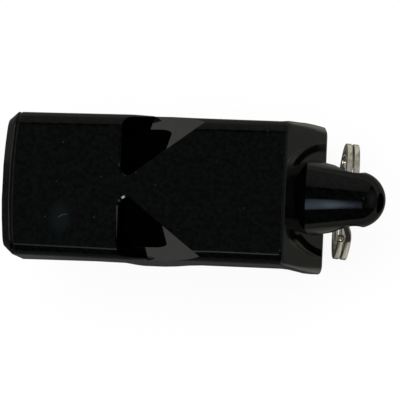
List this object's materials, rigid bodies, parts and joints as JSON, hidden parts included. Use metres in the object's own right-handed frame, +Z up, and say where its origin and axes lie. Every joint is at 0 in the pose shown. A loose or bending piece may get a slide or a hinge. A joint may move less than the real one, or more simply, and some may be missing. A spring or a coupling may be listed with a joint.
{
  "type": "pealess whistle",
  "caption": "Pealess whistle with a stepped flat mouthpiece, slanted sound windows above and below, a leaning rear face and a split ring hanging in its tail eye.",
  "frame": {"origin": "middle of the flat underside, between the third window's ramp and the tail", "axes": "+X from the mouthpiece to the tail, +Z up through the top with the two windows, +Y across"},
  "size_m": [0.0551, 0.022, 0.0262],
  "materials": {
    "shell": "polished moulded black plastic",
    "core": "plain moulded black plastic",
    "ring": "bright nickel plate with a warm tint"
  },
  "bodies": {
    "whistle": {"upper_shell": "shell", "lower_shell": "shell", "airway_core": "core"},
    "ring": {"split_ring": "ring"}
  },
  "joints": [
    {"name": "ring_swing", "type": "hinge", "parent": "whistle", "child": "ring", "pos_m": [0.01024, 0, 0.008], "axis": [0, -1, 0], "range_deg": [-8, 205]}
  ]
}
